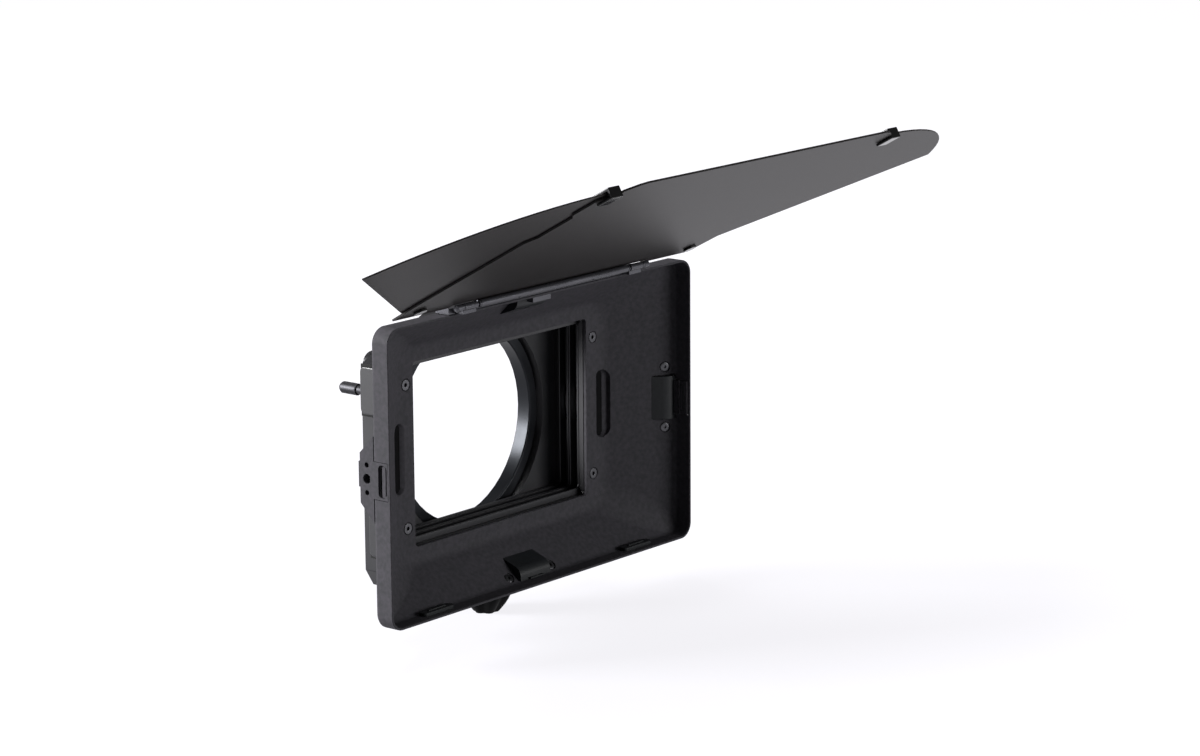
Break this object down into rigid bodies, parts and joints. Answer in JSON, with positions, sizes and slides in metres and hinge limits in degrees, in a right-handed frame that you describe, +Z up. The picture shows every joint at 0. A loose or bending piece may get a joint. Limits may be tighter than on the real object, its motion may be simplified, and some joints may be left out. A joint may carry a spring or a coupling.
{
  "type": "matte box",
  "caption": "Clamp-on camera matte box: flared rectangular hood, hinged top flag with fan wings, filter stage with lift-out trays and a split lens clamp.",
  "frame": {"origin": "where the optical axis meets the rear face of the lens ring, the plane that the lens comes in through", "axes": "+Y along the optical axis from the scene to the lens, +Z up toward the top flag, +X to the right as seen from the front"},
  "size_m": [0.4456, 0.2112, 0.2585],
  "materials": {
    "painted_shell": "matte",
    "black_anodised": "satin",
    "black_plastic": "matte",
    "flag_sheet": "satin",
    "foam_rubber": "matte",
    "black_steel": "satin",
    "bright_steel": "satin"
  },
  "bodies": {
    "frame": {"hood_shell": "painted_shell", "hood_flange_screw_1": "black_steel", "hood_flange_screw_2": "black_steel", "hood_flange_screw_3": "black_steel", "hood_flange_screw_4": "black_steel", "support_shoe_screw_1": "black_steel", "support_shoe_screw_2": "black_steel", "hood_gasket": "foam_rubber", "side_cover_upper_left": "black_plastic", "side_cover_upper_right": "black_plastic", "side_cover_lower_left": "black_plastic", "side_cover_lower_right": "black_plastic", "slot_liner_bottom_left": "black_plastic", "slot_liner_bottom_right": "black_plastic", "catch_spring_top": "bright_steel", "catch_spring_right": "bright_steel", "catch_spring_bottom": "bright_steel", "catch_spring_left": "bright_steel", "slot_liner_top_left": "bright_steel", "slot_liner_top_right": "bright_steel", "flag_hinge_pin": "bright_steel", "support_knob_washer": "bright_steel", "catch_base_top": "black_anodised", "catch_base_right": "black_anodised", "catch_base_bottom": "black_anodised", "catch_base_left": "black_anodised", "flag_bracket": "black_anodised", "flag_hinge_cap_left": "black_anodised", "flag_hinge_cap_right": "black_anodised", "stage_front_plate": "black_anodised", "stage_body": "black_anodised", "stage_rear_plate": "black_anodised", "rear_clamp": "black_anodised", "adapter_ring": "black_anodised", "support_shoe": "black_anodised"},
    "flag": {"flag_hinge_leaf": "black_anodised", "flag_panel": "flag_sheet", "wing_pivot_left": "black_plastic", "wing_pivot_right": "black_plastic", "wing_guide_left": "black_plastic", "wing_guide_right": "black_plastic"},
    "wing_left": {"flag_wing_left": "flag_sheet"},
    "wing_right": {"flag_wing_right": "flag_sheet"},
    "catch_top": {"catch_button_top": "black_plastic", "catch_clip_top": "bright_steel"},
    "catch_right": {"catch_button_right": "black_plastic", "catch_clip_right": "bright_steel"},
    "catch_bottom": {"catch_button_bottom": "black_plastic", "catch_clip_bottom": "bright_steel"},
    "catch_left": {"catch_button_left": "black_plastic", "catch_clip_left": "bright_steel"},
    "tray_front": {"filter_tray_front": "black_anodised", "tray_spring_front": "bright_steel"},
    "tray_rear": {"filter_tray_rear": "black_anodised", "tray_spring_rear": "bright_steel"},
    "lock_left": {"lock_screw_left": "black_steel"},
    "lock_right": {"lock_screw_right": "black_steel"},
    "closing_screw": {"clamp_closing_screw": "black_steel"},
    "knob": {"support_knob": "black_plastic", "support_knob_bolt": "bright_steel"}
  },
  "joints": [
    {"name": "flag_tilt", "type": "hinge", "parent": "frame", "child": "flag", "pos_m": [0, -0.06956, 0.08034], "axis": [-1, 0, 0], "range_deg": [-115, 58]},
    {"name": "wing_left_fold", "type": "hinge", "parent": "flag", "child": "wing_left", "pos_m": [-0.106, -0.07247, 0.08642], "axis": [0, 0.4863, 0.8738], "range_deg": [0, 48]},
    {"name": "wing_right_fold", "type": "hinge", "parent": "flag", "child": "wing_right", "pos_m": [0.106, -0.07247, 0.08642], "axis": [0, -0.4863, -0.8738], "range_deg": [0, 48]},
    {"name": "catch_top_push", "type": "slide", "parent": "frame", "child": "catch_top", "axis": [0, 1, 0], "range_m": [0, 0.0022], "stiffness_N_per_m": 400, "deforming": ["catch_spring_top"]},
    {"name": "catch_right_push", "type": "slide", "parent": "frame", "child": "catch_right", "axis": [0, 1, 0], "range_m": [0, 0.0022], "stiffness_N_per_m": 400, "deforming": ["catch_spring_right"]},
    {"name": "catch_bottom_push", "type": "slide", "parent": "frame", "child": "catch_bottom", "axis": [0, 1, 0], "range_m": [0, 0.0022], "stiffness_N_per_m": 400, "deforming": ["catch_spring_bottom"]},
    {"name": "catch_left_push", "type": "slide", "parent": "frame", "child": "catch_left", "axis": [0, 1, 0], "range_m": [0, 0.0022], "stiffness_N_per_m": 400, "deforming": ["catch_spring_left"]},
    {"name": "tray_front_lift", "type": "slide", "parent": "frame", "child": "tray_front", "axis": [0, 0, 1], "range_m": [0, 0.11]},
    {"name": "tray_rear_lift", "type": "slide", "parent": "frame", "child": "tray_rear", "axis": [0, 0, 1], "range_m": [0, 0.11]},
    {"name": "lock_left_turn", "type": "hinge", "parent": "frame", "child": "lock_left", "pos_m": [-0.079, -0.0069, 0.032], "axis": [0, 1, 0], "continuous": true},
    {"name": "lock_right_turn", "type": "hinge", "parent": "frame", "child": "lock_right", "pos_m": [0.079, -0.0069, 0.032], "axis": [0, 1, 0], "continuous": true},
    {"name": "closing_screw_turn", "type": "hinge", "parent": "frame", "child": "closing_screw", "pos_m": [0.071, -0.00375, 0], "axis": [0, 0, 1], "continuous": true},
    {"name": "knob_turn", "type": "hinge", "parent": "frame", "child": "knob", "pos_m": [0, -0.0208, -0.0898], "axis": [0, 0, 1], "continuous": true}
  ]
}
